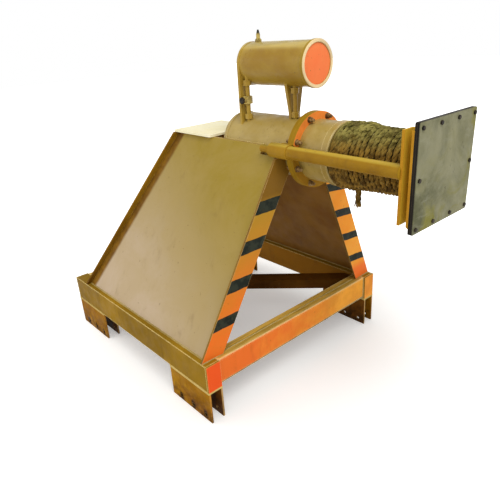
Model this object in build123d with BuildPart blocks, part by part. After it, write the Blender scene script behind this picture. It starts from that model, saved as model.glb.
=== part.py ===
from build123d import *
from math import asin, atan2, cos, degrees, hypot, radians, sin
import os

# Railway buffer stop, metre gauge. Millimetres, x towards the buffer plate, y to its left, z up
# The floor is z = 0 and the middle of the overall box is x = y = 0

# Driving sizes of the base frame
rail_centres = 1051.0
rail_slot = 54.0
foot_plate = 8.0
foot_height = 156.0
shoe_plate = 8.0
shoe_lip = 2.0
foot_length = 287.0
beam_height = 126.0
beam_wall = 8.0
end_plate = 8.0
frame_length = 1214.0
plate_reach = 626.0
cross_set_back = 10.0
cross_depth = 66.0
cross_wall = 8.0
cross_drop = 8.0
brace_width = 80.0
brace_height = 50.0
brace_wall = 6.0
brace_sink = 14.0
hole_radius = 8.0
hole_height = 24.0
hole_first = 40.0
hole_pitch = 89.0

# Driving sizes of the side webs and their flanges, x counted from the front of the frame
web_thickness = 10.0
web_inset = 27.0
web_rear_foot = -1075.0
web_rear_top = -650.0
web_front_foot = -42.0
web_front_top = 29.0
web_trim = 20.0
flange_plate = 10.0
flange_out = 22.0
rear_flange_out = 8.0
flange_in = 65.0
deck_rise = 30.0
deck_plate = 10.0
deck_overhang = 19.0
deck_tail = 18.0
deck_cap_gap = 30.0
deck_corner = 8.0

# Driving sizes of the cylinder and the plunger, x counted from the front of the frame
axis_height = 1064.0
barrel_radius = 116.0
barrel_wall = 20.0
barrel_rear = -312.0
cap_depth = 50.0
cap_lip = 6.0
ring_lip = 30.0
ring_plate = 15.0
ring_x = 90.0
rim_x = 215.0
rim_lip = 4.0
rim_chamfer = 3.0
rim_length = 28.0
piston_lip = 10.0
plunger_wall = 16.0
piston_length = 50.0
piston_end_gap = 10.0
stroke = 120.0
running_fit = 0.05
rope_diameter = 20.0
rope_second_layer = 15.0
rope_turns = 15
rope_bore_gap = 0.3
rope_head_gap = 4.0

# Driving sizes of the head and its guide rods
head_lip = 19.0
head_height = 344.0
head_corner = 6.0
pad_plate = 8.0
pad_chamfer = 1.5
back_plate = 8.0
channel_depth = 40.0
channel_wall = 8.0
channel_reach = 56.0
channel_height = 296.0
rod_gap = 6.0
rod_rise = 17.0
rod_radius = 24.0
rod_tail_radius = 15.0
rod_shoulder = 50.0
rod_chamfer = 2.0
rod_rear = -52.0
guide_radius = 28.0
guide_rear = 2.0
guide_front = 97.0
guide_seat = 1.0
rod_clear = 5.0
bracket_rear = 22.0
bracket_front = 62.0
bracket_height = 40.0
bracket_bite = 6.0

# Driving sizes of the gas and oil tank above the cylinder
tank_gap = 115.0
tank_radius = 82.0
tank_wall = 6.0
tank_rear = -238.0
tank_front = 92.0
tank_rim_radius = 85.0
tank_rim_length = 14.0
tank_rim_chamfer = 2.0
tank_disc_radius = 72.0
tank_disc_sink = 5.0
tank_cap_depth = 16.0
saddle_plate = 12.0
front_saddle_x = -24.0
front_saddle_top = 46.0
front_saddle_foot = 26.0
front_neck_rise = 16.0
front_neck_drop = 4.0
rear_plate_lip = 2.0
rear_leg_width = 32.0
front_pipe_clear = 3.0
rear_pipe_clear = 2.0
front_pipe_y = -20.0
rear_pipe_y = -62.0
pipe_radius = 9.0
nut_across = 16.0
nut_height = 20.0
nut_gap = 5.0
pipe_root = 16.0
valve_radius = 15.0
valve_shoulder = 4.0
valve_length = 38.0
knob_radius = 13.0
knob_plate = 9.0
knob_notch = 4.0
nipple_x = -206.0
nipple_radius = 13.0
nipple_neck_radius = 8.0
nipple_tip_radius = 3.0
nipple_root = 8.0
nipple_body = 8.0
nipple_shoulder = 4.0
nipple_neck = 14.0
nipple_tip = 18.0
weld_gap = 0.2

# Values that follow
gauge_half = rail_centres / 2
tank_height = axis_height + barrel_radius + tank_gap + tank_radius
barrel_bore = barrel_radius - barrel_wall
ring_radius = barrel_radius + ring_lip
rim_radius = barrel_radius + rim_lip
plunger_radius = barrel_bore - piston_lip
rod_side = ring_radius + rod_gap
rod_height = axis_height + rod_rise
head_half_width = rod_side + head_lip
deck_top = axis_height + deck_rise
beam_width = rail_slot + 2 * foot_plate
half_width = gauge_half + beam_width / 2
front_x = (frame_length - plate_reach) / 2
rear_x = front_x - frame_length
pad_face_x = front_x + plate_reach
beam_top = foot_height + beam_height
beam_middle = foot_height + beam_height / 2
cross_half = half_width - beam_width
web_top = deck_top - deck_plate
web_rise = web_top - beam_top
web_foot_y = half_width - web_inset
web_touch_y = (barrel_radius**2 - (web_top - axis_height) ** 2) ** 0.5
web_run = web_foot_y - web_touch_y
web_lean = degrees(atan2(web_run, web_rise)) - degrees(asin(web_thickness / hypot(web_run, web_rise)))
lean_cos = cos(radians(web_lean))
lean_sin = sin(radians(web_lean))
deck_slope = web_rise / lean_cos
web_crest = deck_slope + (web_thickness + flange_in) * lean_sin / lean_cos
web_notch_z = rod_height - guide_radius - guide_seat
web_notch_x = rod_shoulder - stroke - rod_clear
notch_slope = (web_notch_z - beam_top) / lean_cos
front_slope = (web_front_top - web_front_foot) / deck_slope
rear_slope = (web_rear_top - web_rear_foot) / deck_slope
deck_half_width = web_foot_y - deck_slope * lean_sin + deck_overhang
deck_rear = web_rear_foot + rear_slope * deck_slope - deck_tail
deck_front = barrel_rear - cap_depth - deck_cap_gap
plunger_rear = barrel_rear + piston_end_gap + stroke
rope_inner = plunger_radius + rope_bore_gap
rope_thin_radius = rope_inner + rope_diameter
rope_full_radius = rope_thin_radius + rope_second_layer
crest_height = 0.4 * rope_diameter
front_pipe_x = front_saddle_x + saddle_plate + front_pipe_clear + nut_across
rear_pipe_x = tank_rear + rear_pipe_clear + valve_radius + valve_shoulder

os.makedirs("parts", exist_ok=True)

# Side beams, closed box girders
beam_length = frame_length - 2 * end_plate
for side, name in ((1, "side_beam_left"), (-1, "side_beam_right")):
    with BuildPart() as beam:
        with BuildSketch(Plane.YZ.offset(rear_x + end_plate)):
            with Locations((side * gauge_half, beam_middle)):
                Rectangle(beam_width, beam_height)
                Rectangle(beam_width - 2 * beam_wall, beam_height - 2 * beam_wall, mode=Mode.SUBTRACT)
        extrude(amount=beam_length)
    beam.part.label = name
    export_step(beam.part, "parts/" + name + ".step")

# End plates of the side beams
with BuildPart() as beam_end_plates:
    with BuildSketch(Plane.YZ.offset(rear_x)):
        with Locations((gauge_half, beam_middle), (-gauge_half, beam_middle)):
            Rectangle(beam_width, beam_height)
    extrude(amount=end_plate)
    with BuildSketch(Plane.YZ.offset(front_x - end_plate)):
        with Locations((gauge_half, beam_middle), (-gauge_half, beam_middle)):
            Rectangle(beam_width, beam_height)
    extrude(amount=end_plate)
beam_end_plates.part.label = "beam_end_plates"
export_step(beam_end_plates.part, "parts/beam_end_plates.step")

# Cross beams, channels with the web outwards
cross_height = beam_height - cross_drop
front_web_x = front_x - cross_set_back
rear_web_x = rear_x + cross_set_back
for name, web_x, inward in (("cross_beam_front", front_web_x, -1), ("cross_beam_rear", rear_web_x, 1)):
    with BuildPart() as cross:
        with BuildSketch(Plane.XZ.offset(-cross_half)):
            with Locations((web_x + inward * cross_depth / 2, beam_top - cross_height / 2)):
                Rectangle(cross_depth, cross_height)
            with Locations((web_x + inward * (cross_depth + cross_wall) / 2, beam_top - cross_height / 2)):
                Rectangle(cross_depth - cross_wall, cross_height - 2 * cross_wall, mode=Mode.SUBTRACT)
        extrude(amount=2 * cross_half)
    cross.part.label = name
    export_step(cross.part, "parts/" + name + ".step")

# Plan bracing, one diagonal in one length and the other in two
brace_front_x = front_web_x - cross_depth
brace_rear_x = rear_web_x + cross_depth
brace_run = brace_front_x - brace_rear_x
brace_angle = degrees(atan2(2 * cross_half, brace_run))
brace_mid_x = (brace_front_x + brace_rear_x) / 2
brace_top = beam_top - brace_sink
brace_length = hypot(2 * cross_half, brace_run)
bay = Box(brace_run, 2 * cross_half, 2 * beam_height, mode=Mode.PRIVATE)
bay = bay.moved(Location((brace_mid_x, 0, beam_top - beam_height / 2)))
brace_cos = cos(radians(brace_angle))
brace_sin = sin(radians(brace_angle))
long_line = Plane(origin=(brace_mid_x, 0, brace_top), x_dir=(brace_cos, brace_sin, 0))
cross_line = Plane(origin=(brace_mid_x, 0, brace_top), x_dir=(brace_cos, -brace_sin, 0))
with BuildPart() as brace_long:
    with BuildSketch(long_line):
        Rectangle(brace_length + brace_width, brace_width)
    extrude(amount=-brace_height)
    with BuildSketch(long_line.offset(-brace_wall)):
        Rectangle(brace_length + 2 * brace_width, brace_width - 2 * brace_wall)
    extrude(amount=-brace_height, mode=Mode.SUBTRACT)
    add(bay, mode=Mode.INTERSECT)
brace_long.part.label = "plan_brace_long"
export_step(brace_long.part, "parts/plan_brace_long.step")
with BuildPart() as brace_halves:
    with BuildSketch(cross_line):
        Rectangle(brace_length + brace_width, brace_width)
    extrude(amount=-brace_height)
    with BuildSketch(cross_line.offset(-brace_wall)):
        Rectangle(brace_length + 2 * brace_width, brace_width - 2 * brace_wall)
    extrude(amount=-brace_height, mode=Mode.SUBTRACT)
    add(bay, mode=Mode.INTERSECT)
    with BuildSketch(long_line.offset(brace_wall)):
        Rectangle(2 * brace_length, brace_width + 2 * weld_gap)
    extrude(amount=-2 * brace_height, mode=Mode.SUBTRACT)
brace_halves.part.label = "plan_brace_halves"
export_step(brace_halves.part, "parts/plan_brace_halves.step")

# Feet, an outer and an inner plate each side of the rail slot
plate_offset = (rail_slot + foot_plate) / 2
side_height = foot_height - shoe_plate
with BuildPart() as shoe_plates:
    with BuildSketch(Plane.XY.offset(side_height)):
        with Locations((front_x - foot_length / 2, 0), (rear_x + foot_length / 2, 0)):
            with GridLocations(0, rail_centres, 1, 2):
                Rectangle(foot_length, beam_width + 2 * shoe_lip)
    extrude(amount=shoe_plate)
shoe_plates.part.label = "foot_top_plates"
export_step(shoe_plates.part, "parts/foot_top_plates.step")
for end, foot_front in (("front", front_x), ("rear", rear_x + foot_length)):
    for side, hand in ((1, "left"), (-1, "right")):
        for away, place in ((1, "outer"), (-1, "inner")):
            plate_y = side * (gauge_half + away * plate_offset)
            with BuildPart() as foot:
                with BuildSketch(Plane.XZ.offset(-plate_y - foot_plate / 2)):
                    with Locations((foot_front - foot_length / 2, side_height / 2)):
                        Rectangle(foot_length, side_height)
                    with Locations((foot_front - hole_first - hole_pitch, hole_height)):
                        with GridLocations(hole_pitch, 0, 3, 1):
                            Circle(hole_radius, mode=Mode.SUBTRACT)
                extrude(amount=foot_plate)
            name = "foot_" + end + "_" + hand + "_" + place
            foot.part.label = name
            export_step(foot.part, "parts/" + name + ".step")

# Side webs and their edge flanges, leaning in until they touch the barrel
rear_low = web_rear_foot - rear_slope * web_trim
front_low = web_front_foot - front_slope * web_trim
above_beams = Plane.XY.offset(beam_top)
for side, hand in ((1, "left"), (-1, "right")):
    lean_dir = (0, side * lean_cos, lean_sin)
    face = Plane(origin=(front_x, side * web_foot_y, beam_top), x_dir=(1, 0, 0), z_dir=lean_dir)
    up = -side
    with BuildPart() as web:
        with BuildSketch(face):
            with BuildLine():
                Polyline(
                    (rear_low, -up * web_trim),
                    (front_low, -up * web_trim),
                    (web_front_foot + front_slope * notch_slope, up * notch_slope),
                    (web_notch_x, up * notch_slope),
                    (web_notch_x, up * web_crest),
                    (web_rear_foot + rear_slope * web_crest, up * web_crest),
                    close=True,
                )
            make_face()
        extrude(amount=-web_thickness)
        split(bisect_by=above_beams, keep=Keep.TOP)
        split(bisect_by=Plane.XY.offset(web_top), keep=Keep.BOTTOM)
    web.part.label = "web_" + hand
    export_step(web.part, "parts/web_" + hand + ".step")
    with BuildPart() as front_flange:
        with BuildSketch(face.offset(flange_out)):
            with BuildLine():
                Polyline(
                    (front_low, -up * web_trim),
                    (front_low + flange_plate, -up * web_trim),
                    (web_front_foot + front_slope * web_crest + flange_plate, up * web_crest),
                    (web_front_foot + front_slope * web_crest, up * web_crest),
                    close=True,
                )
            make_face()
        extrude(amount=-(flange_out + web_thickness + flange_in))
        split(bisect_by=above_beams, keep=Keep.TOP)
        split(bisect_by=Plane.XY.offset(web_notch_z), keep=Keep.BOTTOM)
        with BuildSketch(Plane.YZ):
            with Locations((0, axis_height)):
                Circle(barrel_radius)
        extrude(amount=2 * frame_length, both=True, mode=Mode.SUBTRACT)
    front_flange.part.label = "front_flange_" + hand
    export_step(front_flange.part, "parts/front_flange_" + hand + ".step")
    with BuildPart() as rear_flange:
        with BuildSketch(face.offset(rear_flange_out)):
            with BuildLine():
                Polyline(
                    (rear_low, -up * web_trim),
                    (rear_low - flange_plate, -up * web_trim),
                    (web_rear_foot + rear_slope * web_crest - flange_plate, up * web_crest),
                    (web_rear_foot + rear_slope * web_crest, up * web_crest),
                    close=True,
                )
            make_face()
        extrude(amount=-(rear_flange_out + web_thickness + flange_in))
        split(bisect_by=above_beams, keep=Keep.TOP)
        split(bisect_by=Plane.XY.offset(web_top), keep=Keep.BOTTOM)
    rear_flange.part.label = "rear_flange_" + hand
    export_step(rear_flange.part, "parts/rear_flange_" + hand + ".step")

# Deck plate over the rear of the webs
with BuildPart() as deck:
    with BuildSketch(Plane.XY.offset(web_top)):
        with Locations((front_x + (deck_rear + deck_front) / 2, 0)):
            Rectangle(deck_front - deck_rear, 2 * deck_half_width)
    extrude(amount=deck_plate)
    fillet(deck.edges().filter_by(Axis.Z), deck_corner)
deck.part.label = "deck_plate"
export_step(deck.part, "parts/deck_plate.step")

# Cylinder barrel with its rear cap
axis_plane = Plane(origin=(front_x, 0, axis_height), x_dir=(1, 0, 0), z_dir=(0, -1, 0))
axis_line = Axis((front_x, 0, axis_height), (1, 0, 0))
with BuildPart() as barrel:
    with BuildSketch(axis_plane):
        with BuildLine():
            Polyline(
                (barrel_rear, barrel_bore),
                (ring_x, barrel_bore),
                (ring_x, barrel_radius),
                (barrel_rear, barrel_radius),
                close=True,
            )
        make_face()
    revolve(axis=axis_line)
barrel.part.label = "cylinder_barrel"
export_step(barrel.part, "parts/cylinder_barrel.step")

with BuildPart() as rear_cap:
    with BuildSketch(axis_plane):
        with BuildLine():
            Line((barrel_rear, 0), (barrel_rear, barrel_radius))
            Line((barrel_rear, barrel_radius), (barrel_rear - cap_lip, barrel_radius))
            Spline(
                (barrel_rear - cap_lip, barrel_radius),
                (barrel_rear - 0.78 * cap_depth, 0.64 * barrel_radius),
                (barrel_rear - cap_depth, 0),
                tangents=((-1, 0), (0, -1)),
            )
            Line((barrel_rear - cap_depth, 0), (barrel_rear, 0))
        make_face()
    revolve(axis=axis_line)
rear_cap.part.label = "barrel_rear_cap"
export_step(rear_cap.part, "parts/barrel_rear_cap.step")

# Bolted flange rings, notched for the rod guides
rod_places = ((rod_side, rod_height), (-rod_side, rod_height))
for name, ring_start in (("barrel_flange", ring_x - ring_plate), ("gland_flange", ring_x)):
    with BuildPart() as ring:
        with BuildSketch(Plane.YZ.offset(front_x + ring_start)):
            with Locations((0, axis_height)):
                Circle(ring_radius)
                Circle(barrel_radius, mode=Mode.SUBTRACT)
            with Locations(*rod_places):
                Circle(guide_radius, mode=Mode.SUBTRACT)
        extrude(amount=ring_plate)
    ring.part.label = name
    export_step(ring.part, "parts/" + name + ".step")

# Front section of the cylinder, the bearing of the plunger
with BuildPart() as gland:
    with BuildSketch(axis_plane):
        with BuildLine():
            Polyline(
                (ring_x, plunger_radius + running_fit),
                (rim_x + rim_length, plunger_radius + running_fit),
                (rim_x + rim_length, rim_radius),
                (rim_x, rim_radius),
                (rim_x, barrel_radius),
                (ring_x, barrel_radius),
                close=True,
            )
        make_face()
    revolve(axis=axis_line)
    rim_edge = gland.edges().filter_by(GeomType.CIRCLE).group_by(Axis.X)[-1].sort_by(SortBy.RADIUS)[-1]
    chamfer(rim_edge, rim_chamfer)
gland.part.label = "gland_sleeve"
export_step(gland.part, "parts/gland_sleeve.step")

# Plunger tube with its piston
head_rear = plate_reach - pad_plate - back_plate
plunger_front = head_rear
with BuildPart() as plunger:
    with BuildSketch(axis_plane):
        with BuildLine():
            Polyline(
                (plunger_rear, 0),
                (plunger_rear, barrel_bore - running_fit),
                (plunger_rear + piston_length, barrel_bore - running_fit),
                (plunger_rear + piston_length, plunger_radius),
                (plunger_front, plunger_radius),
                (plunger_front, plunger_radius - plunger_wall),
                (plunger_rear + piston_length, plunger_radius - plunger_wall),
                (plunger_rear + piston_length, 0),
                close=True,
            )
        make_face()
    revolve(axis=axis_line)
plunger.part.label = "plunger_tube"
export_step(plunger.part, "parts/plunger_tube.step")

# Rope wound on the plunger, two layers thick by the cylinder and one by the head
rope_start = rim_x + rim_length + weld_gap
rope_end = head_rear - channel_depth - rope_head_gap
turn_pitch = (rope_end - rope_start) / rope_turns
groove_start = rope_full_radius - crest_height
groove_end = rope_thin_radius - crest_height
groove_fall = (groove_end - groove_start) / rope_turns
with BuildPart() as rope:
    with BuildSketch(axis_plane):
        with BuildLine():
            Polyline(
                (rope_start, groove_start),
                (rope_start, rope_inner),
                (rope_end, rope_inner),
                (rope_end, groove_end),
            )
            for turn in range(rope_turns):
                left_x = rope_start + turn * turn_pitch
                left_radius = groove_start + turn * groove_fall
                crest = left_radius + groove_fall / 2 + crest_height
                ThreePointArc(
                    (left_x, left_radius),
                    (left_x + turn_pitch / 2, crest),
                    (left_x + turn_pitch, left_radius + groove_fall),
                )
        make_face()
    revolve(axis=axis_line)
rope.part.label = "rope_wrap"
export_step(rope.part, "parts/rope_wrap.step")

# Head of the plunger, backing channels, back plate and buffer pad
channel_rear = head_rear - channel_depth
channel_x = front_x + head_rear - channel_depth / 2
channel_y = head_half_width - channel_reach / 2
for side, hand in ((1, "left"), (-1, "right")):
    with BuildPart() as channel:
        with BuildSketch(Plane.XY.offset(axis_height - channel_height / 2)):
            with Locations((channel_x, side * channel_y)):
                Rectangle(channel_depth, channel_reach)
            with Locations((channel_x, side * (channel_y + channel_wall))):
                Rectangle(channel_depth - 2 * channel_wall, channel_reach, mode=Mode.SUBTRACT)
        extrude(amount=channel_height)
    channel.part.label = "head_channel_" + hand
    export_step(channel.part, "parts/head_channel_" + hand + ".step")
with BuildPart() as head_back:
    with BuildSketch(Plane.YZ.offset(front_x + head_rear)):
        with Locations((0, axis_height)):
            RectangleRounded(2 * head_half_width, head_height, head_corner)
    extrude(amount=back_plate)
head_back.part.label = "head_back_plate"
export_step(head_back.part, "parts/head_back_plate.step")
with BuildPart() as pad:
    with BuildSketch(Plane.YZ.offset(pad_face_x - pad_plate)):
        with Locations((0, axis_height)):
            RectangleRounded(2 * head_half_width, head_height, head_corner)
    extrude(amount=pad_plate)
    chamfer(pad.faces().sort_by(Axis.X)[-1].edges(), pad_chamfer)
pad.part.label = "buffer_pad"
export_step(pad.part, "parts/buffer_pad.step")

# Guide rods with turned-down tails, their fixed guides and the guides' brackets
for side, hand in ((1, "left"), (-1, "right")):
    rod_start = (front_x, side * rod_side, rod_height)
    rod_plane = Plane(origin=rod_start, x_dir=(1, 0, 0), z_dir=(0, -1, 0))
    rod_line = Axis(rod_start, (1, 0, 0))
    with BuildPart() as rod:
        with BuildSketch(rod_plane):
            with BuildLine():
                Polyline(
                    (rod_rear, 0),
                    (rod_rear, rod_tail_radius - rod_chamfer),
                    (rod_rear + rod_chamfer, rod_tail_radius),
                    (rod_shoulder, rod_tail_radius),
                    (rod_shoulder, rod_radius - rod_chamfer),
                    (rod_shoulder + rod_chamfer, rod_radius),
                    (channel_rear, rod_radius),
                    (channel_rear, 0),
                    close=True,
                )
            make_face()
        revolve(axis=rod_line)
    rod.part.label = "guide_rod_" + hand
    export_step(rod.part, "parts/guide_rod_" + hand + ".step")
    with BuildPart() as guide:
        with BuildSketch(rod_plane):
            with BuildLine():
                Polyline(
                    (guide_rear, rod_radius + running_fit),
                    (guide_rear, guide_radius - rod_chamfer),
                    (guide_rear + rod_chamfer, guide_radius),
                    (guide_front - rod_chamfer, guide_radius),
                    (guide_front, guide_radius - rod_chamfer),
                    (guide_front, rod_radius + running_fit),
                    close=True,
                )
            make_face()
        revolve(axis=rod_line)
    guide.part.label = "rod_guide_" + hand
    export_step(guide.part, "parts/rod_guide_" + hand + ".step")
    with BuildPart() as bracket:
        with BuildSketch(Plane.YZ.offset(front_x + bracket_rear)):
            with Locations((side * (barrel_radius + rod_side) / 2, rod_height)):
                Rectangle(rod_side - barrel_radius + 2 * bracket_bite, bracket_height)
            with Locations((0, axis_height)):
                Circle(barrel_radius, mode=Mode.SUBTRACT)
            with Locations((side * rod_side, rod_height)):
                Circle(guide_radius, mode=Mode.SUBTRACT)
        extrude(amount=bracket_front - bracket_rear)
    bracket.part.label = "guide_bracket_" + hand
    export_step(bracket.part, "parts/guide_bracket_" + hand + ".step")

# Tank with its front rim and disc and its rear cap
tank_plane = Plane(origin=(front_x, 0, tank_height), x_dir=(1, 0, 0), z_dir=(0, -1, 0))
tank_line = Axis((front_x, 0, tank_height), (1, 0, 0))
tank_bore = tank_radius - tank_wall
with BuildPart() as tank:
    with BuildSketch(tank_plane):
        with BuildLine():
            Polyline(
                (tank_rear, tank_bore),
                (tank_front, tank_bore),
                (tank_front, tank_radius),
                (tank_rear, tank_radius),
                close=True,
            )
        make_face()
    revolve(axis=tank_line)
tank.part.label = "tank_shell"
export_step(tank.part, "parts/tank_shell.step")

with BuildPart() as tank_rim:
    with BuildSketch(tank_plane):
        with BuildLine():
            Polyline(
                (tank_front, tank_disc_radius),
                (tank_front + tank_rim_length, tank_disc_radius),
                (tank_front + tank_rim_length, tank_rim_radius),
                (tank_front, tank_rim_radius),
                close=True,
            )
        make_face()
    revolve(axis=tank_line)
    chamfer(tank_rim.edges().filter_by(GeomType.CIRCLE).group_by(Axis.X)[-1], tank_rim_chamfer)
tank_rim.part.label = "tank_rim"
export_step(tank_rim.part, "parts/tank_rim.step")

disc_front = tank_front + tank_rim_length - tank_disc_sink
with BuildPart() as tank_disc:
    with BuildSketch(Plane.YZ.offset(front_x + tank_front)):
        with Locations((0, tank_height)):
            Circle(tank_disc_radius)
    extrude(amount=disc_front - tank_front)
tank_disc.part.label = "tank_front_disc"
export_step(tank_disc.part, "parts/tank_front_disc.step")

rear_plate_x = tank_rear - saddle_plate
with BuildPart() as tank_cap:
    with BuildSketch(tank_plane):
        with BuildLine():
            Line((rear_plate_x, 0), (rear_plate_x, tank_bore))
            Spline(
                (rear_plate_x, tank_bore),
                (rear_plate_x - 0.7 * tank_cap_depth, 0.62 * tank_bore),
                (rear_plate_x - tank_cap_depth, 0),
                tangents=((-1, 0), (0, -1)),
            )
            Line((rear_plate_x - tank_cap_depth, 0), (rear_plate_x, 0))
        make_face()
    revolve(axis=tank_line)
tank_cap.part.label = "tank_rear_cap"
export_step(tank_cap.part, "parts/tank_rear_cap.step")

# Front saddle plate, tapering down from the tank to the barrel
neck_low = axis_height + barrel_radius + front_neck_rise
neck_high = tank_height - tank_radius + front_neck_drop
with BuildPart() as saddle_front:
    with BuildSketch(Plane.YZ.offset(front_x + front_saddle_x)):
        with BuildLine():
            Polyline(
                (-front_saddle_foot, axis_height),
                (front_saddle_foot, axis_height),
                (front_saddle_foot, neck_low),
                (front_saddle_top, neck_high),
                (front_saddle_top, tank_height),
                (-front_saddle_top, tank_height),
                (-front_saddle_top, neck_high),
                (-front_saddle_foot, neck_low),
                close=True,
            )
        make_face()
        with Locations((0, axis_height)):
            Circle(barrel_radius, mode=Mode.SUBTRACT)
        with Locations((0, tank_height)):
            Circle(tank_radius, mode=Mode.SUBTRACT)
    extrude(amount=saddle_plate)
saddle_front.part.label = "tank_saddle_front"
export_step(saddle_front.part, "parts/tank_saddle_front.step")

# Rear plate, a disc that closes the tank, with a leg down its right side to the barrel
rear_plate_radius = tank_radius + rear_plate_lip
leg_foot = axis_height + barrel_radius / 2
with BuildPart() as saddle_rear:
    with BuildSketch(Plane.YZ.offset(front_x + rear_plate_x)):
        with Locations((0, tank_height)):
            Circle(rear_plate_radius)
        with Locations((rear_leg_width / 2 - rear_plate_radius, (leg_foot + tank_height) / 2)):
            Rectangle(rear_leg_width, tank_height - leg_foot)
        with Locations((0, axis_height)):
            Circle(barrel_radius, mode=Mode.SUBTRACT)
    extrude(amount=saddle_plate)
saddle_rear.part.label = "tank_saddle_rear"
export_step(saddle_rear.part, "parts/tank_saddle_rear.step")

# Pipes between the tank and the barrel, with their union nuts, and a stop valve on the rear one
barrel_solid = Cylinder(barrel_radius, 4 * frame_length, rotation=(0, 90, 0), mode=Mode.PRIVATE)
barrel_solid = barrel_solid.moved(Location((0, 0, axis_height)))
tank_solid = Cylinder(tank_radius, 4 * frame_length, rotation=(0, 90, 0), mode=Mode.PRIVATE)
tank_solid = tank_solid.moved(Location((0, 0, tank_height)))
for name, pipe_x, pipe_y in (
    ("oil_pipe_front", front_x + front_pipe_x, front_pipe_y),
    ("oil_pipe_rear", front_x + rear_pipe_x, rear_pipe_y),
):
    foot_z = axis_height + (barrel_radius**2 - pipe_y**2) ** 0.5
    roof_z = tank_height - (tank_radius**2 - pipe_y**2) ** 0.5
    with BuildPart() as pipe:
        with BuildSketch(Plane.XY.offset(foot_z - pipe_root)):
            with Locations((pipe_x, pipe_y)):
                Circle(pipe_radius)
        extrude(amount=roof_z - foot_z + 2 * pipe_root)
        for nut_z in (foot_z + nut_gap, roof_z - nut_gap - nut_height):
            with BuildSketch(Plane.XY.offset(nut_z)):
                with Locations((pipe_x, pipe_y)):
                    RegularPolygon(nut_across, 6)
            extrude(amount=nut_height)
        add(barrel_solid, mode=Mode.SUBTRACT)
        add(tank_solid, mode=Mode.SUBTRACT)
    pipe.part.label = name
    export_step(pipe.part, "parts/" + name + ".step")

# Stop valve round the rear pipe, with its stem and knob towards the right side
valve_middle = (foot_z + roof_z) / 2
valve_centre = (front_x + rear_pipe_x, rear_pipe_y, valve_middle)
valve_at = Plane(origin=valve_centre, x_dir=(1, 0, 0), z_dir=(0, -1, 0))
with BuildPart() as valve:
    with BuildSketch(Plane.XY.offset(valve_middle - valve_radius)):
        with Locations((front_x + rear_pipe_x, rear_pipe_y)):
            RegularPolygon(valve_radius + valve_shoulder, 6)
    extrude(amount=2 * valve_radius)
    with BuildSketch(valve_at):
        Circle(valve_radius - valve_shoulder)
    extrude(amount=valve_length - knob_plate)
    with BuildSketch(Plane.XY.offset(foot_z)):
        with Locations((front_x + rear_pipe_x, rear_pipe_y)):
            Circle(pipe_radius)
    extrude(amount=roof_z - foot_z, mode=Mode.SUBTRACT)
valve.part.label = "oil_valve"
export_step(valve.part, "parts/oil_valve.step")
with BuildPart() as knob:
    with BuildSketch(valve_at.offset(valve_length - knob_plate)):
        Circle(knob_radius)
        with PolarLocations(knob_radius + knob_notch / 2, 6):
            Circle(knob_notch, mode=Mode.SUBTRACT)
    extrude(amount=knob_plate)
knob.part.label = "valve_knob"
export_step(knob.part, "parts/valve_knob.step")

# Filler nipple on the tank
nipple_middle = front_x + nipple_x
body_top = tank_height + tank_radius + nipple_body
neck_foot = body_top + nipple_shoulder
neck_top = neck_foot + nipple_neck
tip_top = neck_top + nipple_tip
with BuildPart() as nipple:
    with BuildSketch(Plane.XZ):
        with BuildLine():
            Polyline(
                (nipple_middle, tank_height + tank_radius - nipple_root),
                (nipple_middle + nipple_radius, tank_height + tank_radius - nipple_root),
                (nipple_middle + nipple_radius, body_top),
                (nipple_middle + nipple_neck_radius, neck_foot),
                (nipple_middle + nipple_neck_radius, neck_top),
                (nipple_middle + nipple_tip_radius, tip_top),
                (nipple_middle, tip_top),
                close=True,
            )
        make_face()
    revolve(axis=Axis((nipple_middle, 0, 0), (0, 0, 1)))
    add(tank_solid, mode=Mode.SUBTRACT)
nipple.part.label = "filler_nipple"
export_step(nipple.part, "parts/filler_nipple.step")
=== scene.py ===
import bpy
import math
import random
from mathutils import Matrix, Vector


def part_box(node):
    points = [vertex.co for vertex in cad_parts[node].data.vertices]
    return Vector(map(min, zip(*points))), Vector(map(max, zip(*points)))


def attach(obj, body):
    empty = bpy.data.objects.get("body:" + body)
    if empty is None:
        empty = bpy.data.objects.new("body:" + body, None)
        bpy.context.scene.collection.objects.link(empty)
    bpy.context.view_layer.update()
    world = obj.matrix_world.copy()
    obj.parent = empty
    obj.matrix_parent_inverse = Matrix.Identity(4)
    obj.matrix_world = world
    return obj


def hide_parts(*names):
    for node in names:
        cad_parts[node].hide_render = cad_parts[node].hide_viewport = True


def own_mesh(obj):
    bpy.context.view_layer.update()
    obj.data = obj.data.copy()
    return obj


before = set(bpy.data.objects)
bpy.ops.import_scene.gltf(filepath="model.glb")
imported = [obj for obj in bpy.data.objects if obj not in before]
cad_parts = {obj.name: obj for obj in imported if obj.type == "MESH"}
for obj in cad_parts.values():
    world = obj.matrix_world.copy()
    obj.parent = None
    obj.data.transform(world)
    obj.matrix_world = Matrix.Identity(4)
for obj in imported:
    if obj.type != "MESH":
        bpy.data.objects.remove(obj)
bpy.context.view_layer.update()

bl_info = {
    "name": "Railway Buffer Stop",
    "version": (1, 0, 0),
    "blender": (4, 5, 0),
    "location": "View3D > Sidebar > Buffer Stop",
    "description": "Finish, fastenings, welds, rope and stage of a railway buffer stop",
    "category": "Object",
}

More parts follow.
